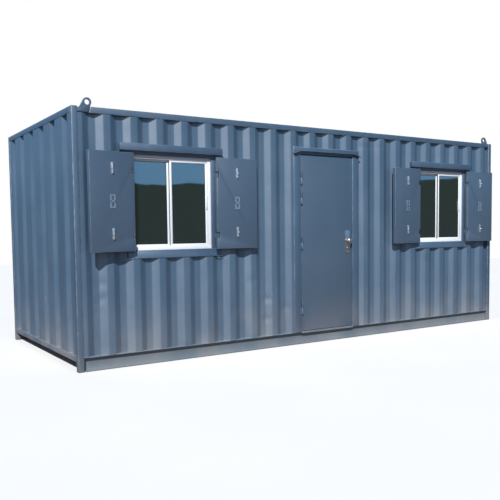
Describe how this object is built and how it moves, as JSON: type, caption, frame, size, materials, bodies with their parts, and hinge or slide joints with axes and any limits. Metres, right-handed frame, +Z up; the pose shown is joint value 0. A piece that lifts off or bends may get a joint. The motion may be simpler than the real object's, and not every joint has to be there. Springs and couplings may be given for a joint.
{
  "type": "shipping container cabin",
  "caption": "Steel site cabin in container form: corrugated walls, square tube frame, lifting lugs, hinged door, sliding windows with hinged steel shutters.",
  "frame": {"origin": "centre of the bounding box in plan, shutters at rest, at the underside of the feet", "axes": "+X along the front from left to right, -Y out of the front with the door, +Z up"},
  "size_m": [6.096, 2.5726, 2.6039],
  "materials": {
    "frame_paint": "satin slate blue gloss paint, faded and dusty low down",
    "sheet_paint": "satin slate blue paint on pressed sheet, streaked and dented",
    "door_paint": "darker slate blue satin paint",
    "deck_board": "plain plywood deck",
    "lining_board": "plain lining board",
    "ceiling_board": "white faced board",
    "threshold_alu": "worn mill aluminium",
    "handle_steel": "brushed stainless steel",
    "bolt_zinc": "bright zinc plate",
    "window_alu": "white powder-coated aluminium",
    "glass": "lightly tinted glass"
  },
  "bodies": {
    "cabin": {"corner_posts": "frame_paint", "lifting_lugs": "frame_paint", "front_top_rail": "frame_paint", "rear_top_rail": "frame_paint", "end_top_rails": "frame_paint", "front_bottom_channel": "frame_paint", "rear_bottom_channel": "frame_paint", "end_bottom_rails": "frame_paint", "floor_bearers": "frame_paint", "door_jambs": "frame_paint", "door_head": "frame_paint", "door_hood": "frame_paint", "door_hinge_pins": "frame_paint", "window_heads": "frame_paint", "window_sills": "frame_paint", "window_jambs": "frame_paint", "shutter_hinge_pins": "frame_paint", "roof_sheet": "sheet_paint", "front_wall": "sheet_paint", "front_wall_infills": "sheet_paint", "rear_wall": "sheet_paint", "left_end_wall": "sheet_paint", "right_end_wall": "sheet_paint", "floor_deck": "deck_board", "front_lining": "lining_board", "rear_lining": "lining_board", "end_linings": "lining_board", "ceiling": "ceiling_board", "door_threshold": "threshold_alu", "window_frame_rails": "window_alu", "window_frame_stiles": "window_alu", "window_sashes": "window_alu", "window_glass": "glass"},
    "door": {"door_leaf": "door_paint", "door_handle": "handle_steel", "door_hinge_knuckles": "frame_paint"},
    "left_window_left_leaf": {"left_window_left_shutter": "door_paint", "left_window_left_bolts": "bolt_zinc"},
    "left_window_right_leaf": {"left_window_right_shutter": "door_paint", "left_window_right_bolts": "bolt_zinc"},
    "right_window_left_leaf": {"right_window_left_shutter": "door_paint", "right_window_left_bolts": "bolt_zinc"},
    "right_window_right_leaf": {"right_window_right_shutter": "door_paint", "right_window_right_bolts": "bolt_zinc"}
  },
  "joints": [
    {"name": "door_hinge", "type": "hinge", "parent": "cabin", "child": "door", "pos_m": [-0.369, -1.16166, 1.2], "axis": [0, 0, 1], "range_deg": [-105, 0]},
    {"name": "left_window_left_shutter_hinge", "type": "hinge", "parent": "cabin", "child": "left_window_left_leaf", "pos_m": [-2.471, -1.18166, 1.62], "axis": [0, 0, 1], "range_deg": [-10, 170]},
    {"name": "left_window_right_shutter_hinge", "type": "hinge", "parent": "cabin", "child": "left_window_right_leaf", "pos_m": [-1.507, -1.18166, 1.62], "axis": [0, 0, 1], "range_deg": [-178, 2]},
    {"name": "right_window_left_shutter_hinge", "type": "hinge", "parent": "cabin", "child": "right_window_left_leaf", "pos_m": [1.535, -1.18166, 1.62], "axis": [0, 0, 1], "range_deg": [-4, 176]},
    {"name": "right_window_right_shutter_hinge", "type": "hinge", "parent": "cabin", "child": "right_window_right_leaf", "pos_m": [2.499, -1.18166, 1.62], "axis": [0, 0, 1], "range_deg": [-177, 3]}
  ]
}
